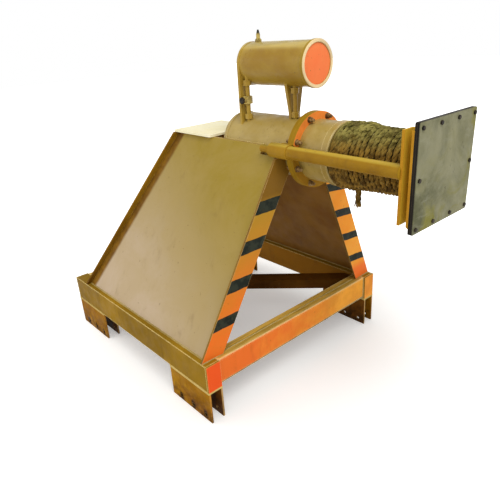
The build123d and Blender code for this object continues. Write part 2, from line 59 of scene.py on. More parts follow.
# Places in metres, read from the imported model
pad_low, pad_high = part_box("buffer_pad")
rod_low, rod_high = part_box("guide_rod_left")
rope_low, rope_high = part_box("rope_wrap")
web_low, web_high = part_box("web_left")
lip_low, lip_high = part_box("rear_flange_left")
beam_low, beam_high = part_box("side_beam_left")
channel_low, channel_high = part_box("head_channel_left")
AXIS_Z = (pad_low.z + pad_high.z) / 2
BEAM_TOP = beam_high.z
TANK_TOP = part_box("tank_shell")[1].z
ROD_Y = (rod_low.y + rod_high.y) / 2
ROD_Z = (rod_low.z + rod_high.z) / 2
ROPE_START, ROPE_END = rope_low.x, rope_high.x
RINGS_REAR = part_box("barrel_flange")[0].x
RINGS_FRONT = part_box("gland_flange")[1].x

# Thickness of the plates, and the front of the frame
END_PLATE = 0.008
WEB_PLATE = 0.010
FRONT = beam_high.x + END_PLATE

# Lean of the webs, and how far their rear edge runs forwards for each metre up the web's face
web_run, web_rise = web_high.y - web_low.y, web_high.z - BEAM_TOP
LEAN = math.atan2(web_run, web_rise) - math.asin(WEB_PLATE / math.hypot(web_run, web_rise))
edge_rise = (web_high.y - lip_low.y) * math.sin(LEAN) + web_rise * math.cos(LEAN)
REAR_SLOPE = (lip_high.x - web_low.x) / edge_rise

# Holes of the outer foot plates, counted back from the front end of each foot
HOLE_FIRST, HOLE_PITCH, HOLE_HEIGHT = 0.040, 0.089, 0.024
HOLES = tuple(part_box(foot)[1].x - HOLE_FIRST - HOLE_PITCH * place
              for foot in ("foot_front_left_outer", "foot_rear_left_outer") for place in range(3))


# Settings shown in the panel

class BufferStopPaint(bpy.types.PropertyGroup):
    ochre: bpy.props.FloatVectorProperty(
        name="Ochre", description="Main coat", default=(0.300, 0.168, 0.010),
        subtype="COLOR", size=3)
    # On the ring's front this orange is painted light from the front.
    orange: bpy.props.FloatVectorProperty(
        name="Ring orange", description="Coat on the front of the flange ring",
        default=(0.86, 0.26, 0.045), subtype="COLOR", size=3)
    stripe: bpy.props.FloatVectorProperty(
        name="Stripe", description="Dark warning bands", default=(0.012, 0.016, 0.011),
        subtype="COLOR", size=3)
    stripe_low: bpy.props.FloatProperty(
        name="Lowest band", description="Height of the middle of the lowest band", default=0.431,
        subtype="DISTANCE", unit="LENGTH")
    stripe_pitch: bpy.props.FloatProperty(
        name="Band pitch", description="Height from one band to the next", default=0.1475,
        subtype="DISTANCE", unit="LENGTH")
    stripe_half: bpy.props.FloatProperty(
        name="Half band", description="Half of a band's height", default=0.026,
        subtype="DISTANCE", unit="LENGTH")


class BufferStopRope(bpy.types.PropertyGroup):
    diameter: bpy.props.FloatProperty(
        name="Rope diameter", description="Over the three strands", default=0.020,
        subtype="DISTANCE", unit="LENGTH")
    turns: bpy.props.IntProperty(
        name="Turns", description="Turns along the plunger", default=15, min=3)
    lay: bpy.props.FloatProperty(
        name="Lay", description="Length of one twist of the strands", default=0.075,
        subtype="DISTANCE", unit="LENGTH")
    wander: bpy.props.FloatProperty(
        name="Wander", description="How far a turn strays along the plunger", default=0.004,
        subtype="DISTANCE", unit="LENGTH")
    seed: bpy.props.IntProperty(name="Seed", description="Seed of the uneven turns", default=7)


class BufferStopFastenings(bpy.types.PropertyGroup):
    pad_bolt_radius: bpy.props.FloatProperty(
        name="Pad bolt", description="Radius of a bolt head on the pad", default=0.0072,
        subtype="DISTANCE", unit="LENGTH")
    stud_radius: bpy.props.FloatProperty(
        name="Stud", description="Radius of a flange stud", default=0.0060,
        subtype="DISTANCE", unit="LENGTH")
    stud_circle: bpy.props.FloatProperty(
        name="Stud circle", description="Radius of the circle of studs", default=0.1315,
        subtype="DISTANCE", unit="LENGTH")
    weld_radius: bpy.props.FloatProperty(
        name="Weld", description="Radius of a weld bead", default=0.0045,
        subtype="DISTANCE", unit="LENGTH")


class BufferStopStage(bpy.types.PropertyGroup):
    key: bpy.props.FloatProperty(
        name="Key light", description="Power of the large lamp", default=95.0)
    fill: bpy.props.FloatProperty(
        name="Fill light", description="Power of the side lamp", default=32.0)
    sky: bpy.props.FloatProperty(
        name="Sky", description="Strength of the even light", default=0.62)


# Helpers for meshes

def deselect():
    bpy.ops.object.select_all(action="DESELECT")


def pick(*objects):
    deselect()
    for o in objects:
        o.select_set(True)
    bpy.context.view_layer.objects.active = objects[0]


def settle(o):
    """Put a piece's place, turn and size into its mesh."""
    pick(o)
    bpy.ops.object.transform_apply(location=True, rotation=True, scale=True)


def merge(name, objects):
    """Join parts or copies into one piece."""
    pick(*objects)
    bpy.ops.object.join()
    o = bpy.context.view_layer.objects.active
    o.name = o.data.name = name
    settle(o)
    return o


def smooth(o, degrees):
    pick(o)
    bpy.ops.object.shade_smooth_by_angle(angle=math.radians(degrees))


def dress(o, body, material):
    o.data.materials.clear()
    o.data.materials.append(material)
    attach(o, body)


def duplicate(o, matrix):
    twin = o.copy()
    twin.data = o.data.copy()
    twin.matrix_world = matrix @ o.matrix_world
    bpy.context.scene.collection.objects.link(twin)
    return twin


def turned(axis):
    """Turn that lays a new primitive's own z along an axis."""
    return Vector(axis).to_track_quat("Z", "Y").to_euler()


def cylinder(a, b, radius, sides):
    """Start of a round or six-sided part from a to b, and its length."""
    deselect()
    a, b = Vector(a), Vector(b)
    length = (b - a).length
    bpy.ops.mesh.primitive_cylinder_add(vertices=sides, radius=radius, depth=length,
                                        location=(a + b) / 2, rotation=turned(b - a))
    return bpy.context.active_object, length


def edit_edges(o, wanted):
    """Enter edit mode with the edges selected whose rise along the part is wanted."""
    bpy.ops.object.mode_set(mode="EDIT")
    bpy.ops.mesh.select_mode(type="EDGE")
    bpy.ops.mesh.select_all(action="DESELECT")
    bpy.ops.object.mode_set(mode="OBJECT")
    for edge in o.data.edges:
        first, second = (o.data.vertices[i].co for i in edge.vertices)
        edge.select = wanted(abs(first.z - second.z))
    bpy.ops.object.mode_set(mode="EDIT")


def hexagon(radius, a, b):
    """Bolt head or nut from a to b, all its edges chamfered."""
    o = cylinder(a, b, radius, 6)[0]
    bpy.ops.object.mode_set(mode="EDIT")
    bpy.ops.mesh.select_all(action="SELECT")
    bpy.ops.mesh.bevel(offset=radius * 0.09, segments=1)
    bpy.ops.object.mode_set(mode="OBJECT")
    return o


def rod(radius, a, b, sides):
    """Stud, washer or fibre from a to b, both rims chamfered."""
    o, length = cylinder(a, b, radius, sides)
    edit_edges(o, lambda rise: rise < length / 2)
    bpy.ops.mesh.bevel(offset=min(radius * 0.2, length * 0.25), segments=1)
    bpy.ops.object.mode_set(mode="OBJECT")
    return o


def ripple(o, strength, size):
    """Make a weld bead uneven."""
    cloud = bpy.data.textures.new("weld_ripple", "CLOUDS")
    cloud.noise_scale = size
    pick(o)
    bpy.ops.object.modifier_add(type="DISPLACE")
    m = o.modifiers[-1]
    m.texture = cloud
    m.strength = strength
    m.mid_level = 0.5
    m.texture_coords = "GLOBAL"
    bpy.ops.object.modifier_apply(modifier=m.name)


def bead(a, b, radius):
    """Straight weld bead from a to b."""
    o, length = cylinder(a, b, radius, 8)
    edit_edges(o, lambda rise: rise > length / 2)
    bpy.ops.mesh.subdivide(number_cuts=max(8, min(200, int(length / 0.006))))
    bpy.ops.object.mode_set(mode="OBJECT")
    settle(o)
    ripple(o, radius * 0.9, radius * 1.6)
    return o


def ring_bead(centre, major, minor):
    """Weld bead round a part that lies along x."""
    deselect()
    bpy.ops.mesh.primitive_torus_add(
        location=centre, rotation=turned((1, 0, 0)), major_radius=major, minor_radius=minor,
        major_segments=max(24, int(major * 900)), minor_segments=8)
    o = bpy.context.active_object
    settle(o)
    ripple(o, minor * 0.8, minor * 1.8)
    return o


# Helpers for materials

class Shader:
    """One procedural material on Object coordinates."""

    def __init__(self, name):
        self.material = bpy.data.materials.new(name)
        self.material.use_nodes = True
        self.tree = self.material.node_tree
        self.bsdf = self.tree.nodes["Principled BSDF"]
        self.object = self.node("ShaderNodeTexCoord").outputs["Object"]

    def node(self, kind, **values):
        n = self.tree.nodes.new(kind)
        for key, value in values.items():
            setattr(n, key, value)
        return n

    def link(self, a, b):
        self.tree.links.new(a, b)

    def put(self, socket, value):
        if isinstance(value, bpy.types.NodeSocket):
            self.link(value, socket)
        else:
            socket.default_value = value

    def mapped(self, scale, turn=(0, 0, 0)):
        n = self.node("ShaderNodeMapping")
        self.link(self.object, n.inputs["Vector"])
        n.inputs["Rotation"].default_value = turn
        n.inputs["Scale"].default_value = scale
        return n.outputs["Vector"]

    def noise(self, scale, detail=4.0, rough=0.6, vector=None, twist=0.0):
        n = self.node("ShaderNodeTexNoise")
        self.link(vector or self.object, n.inputs["Vector"])
        n.inputs["Scale"].default_value = scale
        n.inputs["Detail"].default_value = detail
        n.inputs["Roughness"].default_value = rough
        n.inputs["Distortion"].default_value = twist
        return n.outputs["Fac"]

    def span(self, value, low, high, to_low=0.0, to_high=1.0):
        n = self.node("ShaderNodeMapRange")
        n.clamp = True
        n.interpolation_type = "SMOOTHSTEP"
        self.put(n.inputs["Value"], value)
        n.inputs["From Min"].default_value = low
        n.inputs["From Max"].default_value = high
        n.inputs["To Min"].default_value = to_low
        n.inputs["To Max"].default_value = to_high
        return n.outputs["Result"]

    def math(self, operation, a, b=0.0):
        n = self.node("ShaderNodeMath", operation=operation)
        self.put(n.inputs[0], a)
        self.put(n.inputs[1], b)
        return n.outputs["Value"]

    def mix(self, share, a, b):
        n = self.node("ShaderNodeMix", data_type="RGBA")
        self.put(n.inputs[0], share)
        for socket, value in ((n.inputs[6], a), (n.inputs[7], b)):
            self.put(socket, value if isinstance(value, bpy.types.NodeSocket) else (*value, 1.0))
        return n.outputs[2]

    def axes(self, vector=None):
        n = self.node("ShaderNodeSeparateXYZ")
        self.link(vector or self.object, n.inputs[0])
        return n.outputs

    def facing(self):
        """The way that the surface faces, as x, y and z."""
        return self.axes(self.node("ShaderNodeTexCoord").outputs["Normal"])

    def reach(self, a, b):
        """Distance made by two lengths at right angles."""
        squares = self.math("ADD", self.math("MULTIPLY", a, a), self.math("MULTIPLY", b, b))
        return self.math("SQRT", squares)

    def stray(self, scale, detail, size):
        """A length that wanders about zero."""
        return self.math("MULTIPLY", self.math("SUBTRACT", self.noise(scale, detail), 0.5), size)

    def mottle(self, colour, other, scale, detail=4.0, rough=0.6, low=0.35, high=0.65,
               share=1.0, twist=0.0):
        """Clouds or specks of another colour, up to a share."""
        cloud = self.span(self.noise(scale, detail, rough, twist=twist), low, high, 0.0, share)
        return self.mix(cloud, colour, other)

    def streak(self, colour, other, runs, low, high, blots, share):
        """Runs of another colour, broken up by large blots, up to a share."""
        blots = self.span(blots, 0.42, 0.64, 0.0, share)
        return self.mix(self.math("MULTIPLY", self.span(runs, low, high), blots), colour, other)

    def edges(self, radius):
        """One at the edges of the mesh, nought away from them."""
        bevel = self.node("ShaderNodeBevel", samples=4)
        bevel.inputs["Radius"].default_value = radius
        plain = self.node("ShaderNodeNewGeometry")
        dot = self.node("ShaderNodeVectorMath", operation="DOT_PRODUCT")
        self.link(bevel.outputs["Normal"], dot.inputs[0])
        self.link(plain.outputs["Normal"], dot.inputs[1])
        return self.span(dot.outputs["Value"], 0.99, 0.80)

    def rub_and_highlight(self, colour, bare_and_lit, least, most, radius=0.004, scale=34.0):
        """Another colour along the edges, in patches: bared paint with a painted highlight."""
        patches = self.span(self.noise(scale, 4.0, 0.7), 0.34, 0.58, least, most)
        return self.mix(self.math("MULTIPLY", self.edges(radius), patches), colour, bare_and_lit)

    def uneven(self, scale, detail, least, most, rough=0.6):
        """A roughness that differs from place to place."""
        return self.span(self.noise(scale, detail, rough), 0.3, 0.7, least, most)

    def bump(self, height, distance, strength):
        n = self.node("ShaderNodeBump")
        n.inputs["Distance"].default_value = distance
        n.inputs["Strength"].default_value = strength
        self.link(height, n.inputs["Height"])
        self.link(n.outputs["Normal"], self.bsdf.inputs["Normal"])

    def finish(self, colour, rough, metal=0.0, specular=0.10):
        self.put(self.bsdf.inputs["Base Color"], colour)
        self.put(self.bsdf.inputs["Roughness"], rough)
        self.bsdf.inputs["Metallic"].default_value = metal
        self.bsdf.inputs["Specular IOR Level"].default_value = specular
        return self.material


def shade(colour, k):
    return tuple(min(1.0, c * k) for c in colour)


def hole_rust(s):
    """Share of the dark rust round the holes of the feet."""
    x, y, z = s.axes()
    rise = s.math("SUBTRACT", z, HOLE_HEIGHT)
    nearest = None
    for place in HOLES:
        aside = s.math("MULTIPLY", s.math("SUBTRACT", x, place), 1.5)
        away = s.reach(aside, rise)
        nearest = away if nearest is None else s.math("MINIMUM", nearest, away)
    return s.span(s.math("ADD", nearest, s.stray(55.0, 4.0, 0.030)), 0.030, 0.014, 0.0, 0.92)


def paint(name, base, dark, light, *, top=None, top_streak=(70.0, 6.0, 20.0), hollow=None,
          lining_shade=None, front=None, front_near=None, front_above=None, dirt=(0.09, 0.055, 0.02),
          dirt_share=0.5, low_dirt=0.0, stained=False, shade_line_below=None, edge=0.5,
          edge_least=0.15, edge_radius=0.004, edge_colour=None, rough=0.50, gloss=0.04):
    """A brushed coat: cloudy tone, dirt runs, chipped and rubbed edges with a painted highlight
    along them.

    The faces that look up take the colour top, a painted highlight; those that look ahead take
    front, painted light from the front; and those that look to the middle of the frame take lining,
    a painted shade tone. Front_near is the lit front's colour on the near side. Hollow is the
    colour deeper inside a channel of the head than its rims, painted light that makes it lighter
    there.
    """
    s = Shader(name)
    colour = s.mottle(dark, light, 3.1, 6.0, 0.62, 0.36, 0.66, twist=0.4)
    colour = s.mottle(colour, base, 14.0, 5.0, 0.7, 0.40, 0.70, share=0.6)
    # Painted highlight: the faces that look up turn to the top colour, as if lit from above.
    if top is not None:
        streaks = s.noise(1.0, 4.0, 0.6, vector=s.mapped(top_streak))
        lit_top = s.mix(s.span(streaks, 0.35, 0.65), shade(top, 0.75), shade(top, 1.25))
        colour = s.mix(s.span(s.facing()[2], 0.6, 0.9), colour, lit_top)
    # Painted light: deeper inside a head channel the colour turns lighter.
    if hollow is not None:
        out = s.math("ABSOLUTE", s.axes()[1])
        deep = s.span(out, channel_high.y - 0.001, channel_high.y - 0.005)
        colour = s.mix(deep, colour, hollow)
    # Painted shade: the faces turned to the middle of the frame take a browner tone.
    if lining_shade is not None:
        inwards = s.math("MULTIPLY", s.facing()[1], s.math("SIGN", s.axes()[1]))
        colour = s.mix(s.span(inwards, -0.5, -0.8), colour, lining_shade)
    # Painted light from the front: faces that look ahead take the front colour, redder on the near
    # side where front_near is given, and only above front_above where that is given.
    if front is not None:
        light_from_front = s.mottle(shade(front, 0.82), shade(front, 1.12), 7.0)
        if front_near is not None:
            drift = s.math("ADD", s.axes()[1], s.stray(5.0, 4.0, 0.9))
            light_from_front = s.mix(s.span(drift, -0.30, 0.20), front_near, light_from_front)
        ahead = s.span(s.facing()[0], 0.45, 0.8)
        if front_above is not None:
            upper = s.span(s.axes()[2], front_above, front_above + 0.05, 0.08, 1.0)
            ahead = s.math("MULTIPLY", ahead, upper)
        colour = s.mix(ahead, colour, light_from_front)
    runs = s.noise(1.0, 5.0, 0.6, vector=s.mapped((26.0, 26.0, 3.2)))
    colour = s.streak(colour, dirt, runs, 0.50, 0.74, s.noise(5.0, 6.0, 0.7, twist=0.8), dirt_share)
    if low_dirt > 0:
        low = s.span(s.axes()[2], 0.17, 0.0, 0.0, low_dirt)
        splashes = s.span(s.noise(22.0, 5.0, 0.7), 0.36, 0.62)
        colour = s.mix(s.math("MULTIPLY", low, splashes), colour, dirt)
    if stained:
        colour = s.mix(hole_rust(s), colour, (0.035, 0.014, 0.003))
    # Painted shade: a thin dark line at the given height, as under the front cross beam's face.
    if shade_line_below is not None:
        under = s.span(s.axes()[2], shade_line_below + 0.0015, shade_line_below - 0.0015)
        colour = s.mix(under, colour, (0.02, 0.014, 0.008))
    colour = s.mottle(colour, shade(dirt, 1.5), 75.0, 3.0, 0.6, 0.66, 0.74, share=0.55)
    # Worn edges with a painted highlight along them.
    colour = s.rub_and_highlight(colour, edge_colour or shade(light, 1.5), edge_least, edge, edge_radius)
    brushed = s.math("MULTIPLY", s.noise(140.0, 3.0), 0.4)
    s.bump(s.math("ADD", brushed, s.noise(11.0, 5.0, 0.6)), 0.0012, 0.35)
    return s.finish(colour, s.uneven(18.0, 5.0, rough - 0.10, rough + 0.18, 0.65), specular=gloss)


def coats():
    """Every painted coat, by the name that NODE_LOOKS gives it."""
    p = bpy.context.scene.buffer_stop_paint
    ochre = tuple(p.ochre)
    coat = (ochre, shade(ochre, 0.78), shade(ochre, 1.20))
    lengthwise = (2.0, 24.0, 24.0)
    cross_beam_face = 0.112
    # In these coats the top colours are painted highlights on faces that look up, the front colours
    # painted light from the front, and the edge colours bare paint with a painted highlight.
    return {
        "ochre": paint("frame_ochre", *coat),
        # Beam: a painted shade tone on the faces turned to the middle, and a cream painted
        # highlight along the edges.
        "beam": paint(
            "beam_ochre", *coat, lining_shade=(0.38, 0.165, 0.014), edge=1.0, edge_least=0.5,
            edge_radius=0.009, edge_colour=(0.92, 0.74, 0.30)),
        # Cross beam: painted highlight on top, painted light on its face, a painted shade line
        # under the face and a cream painted highlight on the edges.
        "signal": paint(
            "signal_ochre", *coat, top=(0.64, 0.39, 0.07), front=(1.0, 0.385, 0.045),
            front_near=(0.85, 0.175, 0.028), dirt=(0.22, 0.085, 0.012), dirt_share=0.35,
            shade_line_below=BEAM_TOP - cross_beam_face, edge=1.0, edge_least=0.65, edge_radius=0.016,
            edge_colour=(1.0, 0.80, 0.38)),
        # Ring: painted light from the front, above the axis only.
        "ring": paint("ring_ochre", *coat, front=tuple(p.orange), front_above=AXIS_Z - 0.02),
        "barrel": paint(
            "barrel_ochre", (0.365, 0.252, 0.050), (0.29, 0.19, 0.030), (0.45, 0.33, 0.105),
            dirt_share=0.3, edge=1.0, edge_least=0.5, edge_radius=0.006,
            edge_colour=(0.86, 0.72, 0.36), rough=0.36, gloss=0.28),
        "tank": paint(
            "tank_ochre", (0.37, 0.235, 0.024), (0.30, 0.17, 0.015), (0.46, 0.31, 0.050),
            top=(0.50, 0.375, 0.10), top_streak=lengthwise, dirt_share=0.25, rough=0.34,
            gloss=0.20),
        # Channel: painted light makes it lighter deeper inside.
        "channel": paint(
            "channel_ochre", (0.44, 0.205, 0.012), (0.37, 0.16, 0.010), (0.51, 0.255, 0.020),
            hollow=(0.60, 0.38, 0.032)),
        "lip": paint("lip_brown", (0.20, 0.095, 0.006), (0.13, 0.055, 0.004), (0.30, 0.155, 0.010)),
        "dark": paint(
            "brace_brown", (0.095, 0.032, 0.003), (0.055, 0.019, 0.002), (0.14, 0.055, 0.006),
            edge=0.3),
        # Inner foot plates: darker than the outer plates, painted shade between them; painted light
        # on their front edges.
        "inner": paint(
            "foot_inner", (0.20, 0.070, 0.006), (0.12, 0.038, 0.004), (0.28, 0.105, 0.009),
            front=(0.62, 0.38, 0.14), dirt=(0.030, 0.014, 0.004), dirt_share=0.8, low_dirt=0.9,
            edge_colour=(0.62, 0.40, 0.14)),
        "foot": paint(
            "foot_ochre", (0.41, 0.185, 0.004), (0.29, 0.115, 0.003), (0.48, 0.235, 0.006),
            front=(0.55, 0.24, 0.035), dirt=(0.10, 0.036, 0.004), dirt_share=0.6, low_dirt=0.9,
            stained=True, edge_colour=(0.66, 0.42, 0.09), gloss=0.03),
        # Top plates of the feet: cream, a painted highlight along the top edge of each foot.
        "shoe": paint(
            "shoe_highlight_cream", (0.62, 0.46, 0.14), (0.50, 0.34, 0.08), (0.74, 0.58, 0.22),
            dirt_share=0.3),
        "deck": paint(
            "deck_cream", (0.97, 0.90, 0.60), (0.92, 0.84, 0.52), (1.0, 0.95, 0.70),
            dirt_share=0.12),
        "rim": paint(
            "rim_cream", (0.36, 0.235, 0.030), (0.29, 0.17, 0.018), (0.45, 0.31, 0.060),
            front=(0.86, 0.68, 0.40), dirt_share=0.1),
        "disc": paint(
            "disc_orange", (1.0, 0.24, 0.08), (1.0, 0.21, 0.07), (1.0, 0.29, 0.10),
            dirt_share=0.15),
        "rod": paint(
            "rod_ochre", (0.31, 0.165, 0.009), (0.25, 0.125, 0.007), (0.37, 0.205, 0.014),
            top=(0.39, 0.265, 0.032), top_streak=lengthwise, dirt_share=0.3, rough=0.40,
            gloss=0.08),
        "end": paint(
            "end_orange", *coat, front=(1.0, 0.345, 0.045), front_near=(0.87, 0.105, 0.018),
            dirt_share=0.3, edge_colour=(0.92, 0.74, 0.30)),
        "black": paint(
            "edge_black", (0.012, 0.010, 0.009), (0.008, 0.007, 0.006), (0.022, 0.018, 0.014),
            edge=0.35, edge_colour=(0.16, 0.12, 0.07)),
    }


def web_tan():
    """Webs: pinkish tan low at the rear, olive ochre high at the front, brown at the rear edge
    and a darker brown on the inner face, painted shade."""
    s = Shader("web_tan")
    x, y, z = s.axes()
    rise = s.span(s.math("ADD", z, s.math("MULTIPLY", x, 0.55)), -0.05, 1.05)
    outer = s.mix(rise, (0.59, 0.46, 0.33), (0.31, 0.215, 0.020))
    outer = s.mottle(outer, (0.42, 0.30, 0.10), 3.4, 6.0, 0.65, share=0.35, twist=0.5)
    slope = REAR_SLOPE / math.cos(LEAN)
    rear_edge = s.math("ADD", s.math("MULTIPLY", z, slope), web_low.x - BEAM_TOP * slope)
    margin = s.math("ADD", s.math("SUBTRACT", x, rear_edge), s.stray(12.0, 4.0, 0.012))
    brown = s.mottle((0.14, 0.062, 0.006), (0.26, 0.125, 0.010), 9.0, 5.0)
    outer = s.mix(s.span(margin, 0.062, 0.036), outer, brown)
    # Painted shade: the inner face takes a darker brown than the outer one.
    inner = s.mottle((0.26, 0.115, 0.017), (0.36, 0.175, 0.030), 5.0, 5.0)
    outwards = s.math("MULTIPLY", s.facing()[1], s.math("SIGN", y))
    colour = s.mix(s.span(outwards, -0.2, 0.2), inner, outer)
    runs = s.noise(1.0, 5.0, 0.62, vector=s.mapped((20.0, 20.0, 2.2)))
    blots = s.noise(4.2, 6.0, 0.7, twist=0.8)
    colour = s.streak(colour, (0.16, 0.09, 0.03), runs, 0.52, 0.76, blots, 0.32)
    colour = s.mottle(colour, (0.12, 0.07, 0.03), 60.0, 3.0, 0.6, 0.67, 0.75, share=0.4)
    # Worn edges with a painted highlight along them.
    colour = s.rub_and_highlight(colour, (0.62, 0.48, 0.22), 0.1, 0.6, scale=30.0)
    grain = s.math("MULTIPLY", s.noise(120.0, 3.0), 0.35)
    s.bump(s.math("ADD", s.noise(9.0, 5.0), grain), 0.0012, 0.35)
    return s.finish(colour, s.uneven(15.0, 5.0, 0.36, 0.62))


# The far flange's bands start higher, stand closer and are thinner than the near one's
FAR_BAND_RISE, FAR_BAND_CLOSER, FAR_BAND_THINNER = 0.0425, 1.105, 0.82


def stripe_orange():
    """Front flanges: dark bands over orange, painted light from the front, with painted shade
    higher up the near one.
    """
    p = bpy.context.scene.buffer_stop_paint
    s = Shader("stripe_orange")
    x, y, z = s.axes()

    def by_side(near=0.0, far=1.0):
        return s.span(y, -0.05, 0.05, near, far)

    tilt = s.math("MULTIPLY", s.math("MAXIMUM", y, 0.0), 0.12)
    height = s.math("ADD", s.math("ADD", z, tilt), s.stray(16.0, 3.0, 0.010))
    lowest = by_side(p.stripe_low, p.stripe_low + FAR_BAND_RISE)
    step = s.math("MULTIPLY", s.math("SUBTRACT", height, lowest), by_side(1.0, FAR_BAND_CLOSER))
    from_middle = s.math("PINGPONG", step, p.stripe_pitch / 2)
    half = by_side(p.stripe_half, p.stripe_half * FAR_BAND_THINNER)
    bands = s.span(s.math("SUBTRACT", from_middle, half), 0.001, -0.001)
    striped = s.math("MULTIPLY", s.span(height, 0.93, 0.90), s.span(height, 0.385, 0.395))
    bands = s.math("MULTIPLY", bands, striped)
    far = s.mottle((1.0, 0.34, 0.032), (1.0, 0.42, 0.050), 6.0, 5.0)
    far = s.mix(s.span(z, 0.40, 0.34), far, (1.0, 0.20, 0.030))
    # Painted shade on the near flange: orange low down, ochre higher up, dark brown at the top.
    near = s.mix(s.span(z, 0.36, 0.90), (0.90, 0.18, 0.022), (0.44, 0.25, 0.025))
    near = s.mottle(near, (0.56, 0.25, 0.02), 6.0, 5.0, share=0.35)
    near = s.mix(s.span(z, 0.86, 0.92), near, (0.22, 0.11, 0.012))
    # Side faces brown, faces that look ahead orange: painted light from the front.
    sides = s.mottle((0.20, 0.11, 0.02), (0.28, 0.16, 0.025), 5.0, low=0.4, high=0.6)
    ahead = s.facing()[0]
    light_from_front = s.mix(s.span(ahead, 0.3, 0.6), sides, s.mix(by_side(), near, far))
    dark = s.mottle(tuple(p.stripe), (0.030, 0.036, 0.024), 30.0, low=0.4, high=0.62)
    colour = s.mix(s.math("MULTIPLY", bands, s.span(ahead, 0.1, 0.3)), light_from_front, dark)
    colour = s.mottle(colour, (0.22, 0.10, 0.03), 55.0, 4.0, 0.65, 0.66, 0.74, share=0.6)
    # Worn edges with a painted highlight along them.
    colour = s.rub_and_highlight(colour, (0.90, 0.60, 0.28), 0.1, 0.5)
    s.bump(s.noise(60.0, 4.0), 0.0008, 0.3)
    return s.finish(colour, s.uneven(15.0, 5.0, 0.34, 0.58), specular=0.05)


def pad_mottled():
    """Pad: mottled grey olive with yellow patches, black at its edges."""
    s = Shader("pad_mottled")
    x, y, z = s.axes()
    deep, pale = (0.110, 0.113, 0.058), (0.260, 0.252, 0.155)
    grey = s.mottle(deep, pale, 5.0, 7.0, 0.7, 0.34, 0.66, twist=0.6)
    grey = s.mix(s.span(y, -0.12, 0.08, 0.0, 0.35), grey, (0.33, 0.315, 0.19))
    low = s.math("MAXIMUM", s.span(z, 1.02, 0.90), s.span(y, 0.09, 0.17, 0.0, 0.7))
    patches = s.span(s.noise(7.5, 6.0, 0.7, twist=1.2), 0.48, 0.62)
    patches = s.math("MULTIPLY", patches, s.math("ADD", low, 0.18))
    grey = s.mix(patches, grey, (0.215, 0.200, 0.048))
    scuffs = s.noise(1.0, 6.0, 0.7, vector=s.mapped((9.0, 9.0, 34.0), (0.5, 0, 0)))
    grey = s.mix(s.span(scuffs, 0.56, 0.72, 0.0, 0.45), grey, (0.30, 0.295, 0.205))
    grey = s.mottle(grey, (0.08, 0.075, 0.05), 46.0, 5.0, 0.7, 0.60, 0.74, share=0.7)
    colour = s.mix(s.span(s.facing()[0], 0.5, 0.85), (0.014, 0.012, 0.010), grey)
    grain = s.math("MULTIPLY", s.noise(90.0, 3.0), 0.5)
    s.bump(s.math("ADD", s.noise(14.0, 6.0, 0.7), grain), 0.0015, 0.5)
    return s.finish(colour, s.uneven(20.0, 5.0, 0.42, 0.72), specular=0.06)


def ground_steel():
    """Plunger: ground steel with brown stains."""
    s = Shader("ground_steel")
    rings = s.noise(1.0, 3.0, 0.5, vector=s.mapped((900.0, 4.0, 4.0)))
    colour = s.mix(s.span(rings, 0.3, 0.7), (0.42, 0.41, 0.39), (0.62, 0.61, 0.58))
    colour = s.mottle(colour, (0.20, 0.16, 0.11), 9.0, 5.0, low=0.5, high=0.7, share=0.6)
    s.bump(rings, 0.0003, 0.25)
    return s.finish(colour, s.uneven(30.0, 4.0, 0.2, 0.45), metal=0.9, specular=0.5)


def dull_brass():
    """Filler nipple and valve: dull brass, dark at the nipple's tip."""
    s = Shader("dull_brass")
    colour = s.mottle((0.24, 0.17, 0.05), (0.52, 0.40, 0.12), 40.0, 5.0)
    colour = s.mottle(colour, (0.10, 0.09, 0.04), 85.0, low=0.55, high=0.7)
    s.bump(s.noise(160.0, 3.0), 0.0004, 0.4)
    tip = s.span(s.axes()[2], TANK_TOP + 0.026, TANK_TOP + 0.034)
    colour = s.mix(tip, colour, (0.03, 0.03, 0.022))
    return s.finish(colour, s.uneven(50.0, 4.0, 0.35, 0.6), metal=0.6)


def straw_rope():
    """Rope: straw, olive above and brown below, with painted shade deep between the turns."""
    s = Shader("straw_rope")
    x, y, z = s.axes()
    olive = s.mottle((0.060, 0.052, 0.009), (0.31, 0.270, 0.072), 32.0, 5.0, 0.7, 0.36, 0.64)
    brown = s.mottle((0.060, 0.028, 0.003), (0.27, 0.150, 0.022), 30.0, 5.0, 0.7, 0.36, 0.64)
    colour = s.mix(s.span(z, AXIS_Z + 0.030, AXIS_Z + 0.115), brown, olive)
    fibre = s.noise(1.0, 5.0, 0.7, vector=s.mapped((420.0, 60.0, 60.0), (0.0, 0.3, 0.5)))
    colour = s.mix(s.span(fibre, 0.52, 0.7, 0.0, 0.6), colour, (0.38, 0.29, 0.10))
    colour = s.mottle(colour, (0.05, 0.032, 0.012), 11.0, low=0.55, high=0.72, share=0.6)
    # Painted shade: the deeper below the crown of the turns, the darker.
    crown = s.span(x, ROPE_START, ROPE_END, 0.1205, 0.1055)
    depth = s.math("SUBTRACT", crown, s.reach(y, s.math("SUBTRACT", z, AXIS_Z)))
    colour = s.mix(s.span(depth, 0.002, 0.011, 0.0, 0.9), colour, (0.012, 0.008, 0.003))
    s.bump(fibre, 0.0012, 0.8)
    return s.finish(colour, 0.9, specular=0.1)


def rusty_steel():
    """Studs, washers and nuts: zinc and rust."""
    s = Shader("rusty_steel")
    colour = s.mottle((0.12, 0.06, 0.02), (0.34, 0.22, 0.09), 60.0, 5.0)
    s.bump(s.noise(200.0, 3.0), 0.0005, 0.5)
    return s.finish(colour, s.uneven(80.0, 4.0, 0.45, 0.7), metal=0.25)


def dark_bolt():
    """Pad bolts and valve handle: dark paint."""
    s = Shader("dark_bolt")
    colour = s.mottle((0.010, 0.009, 0.008), (0.05, 0.038, 0.026), 70.0, 5.0)
    s.bump(s.noise(180.0, 3.0), 0.0004, 0.5)
    return s.finish(colour, s.uneven(80.0, 4.0, 0.4, 0.65))


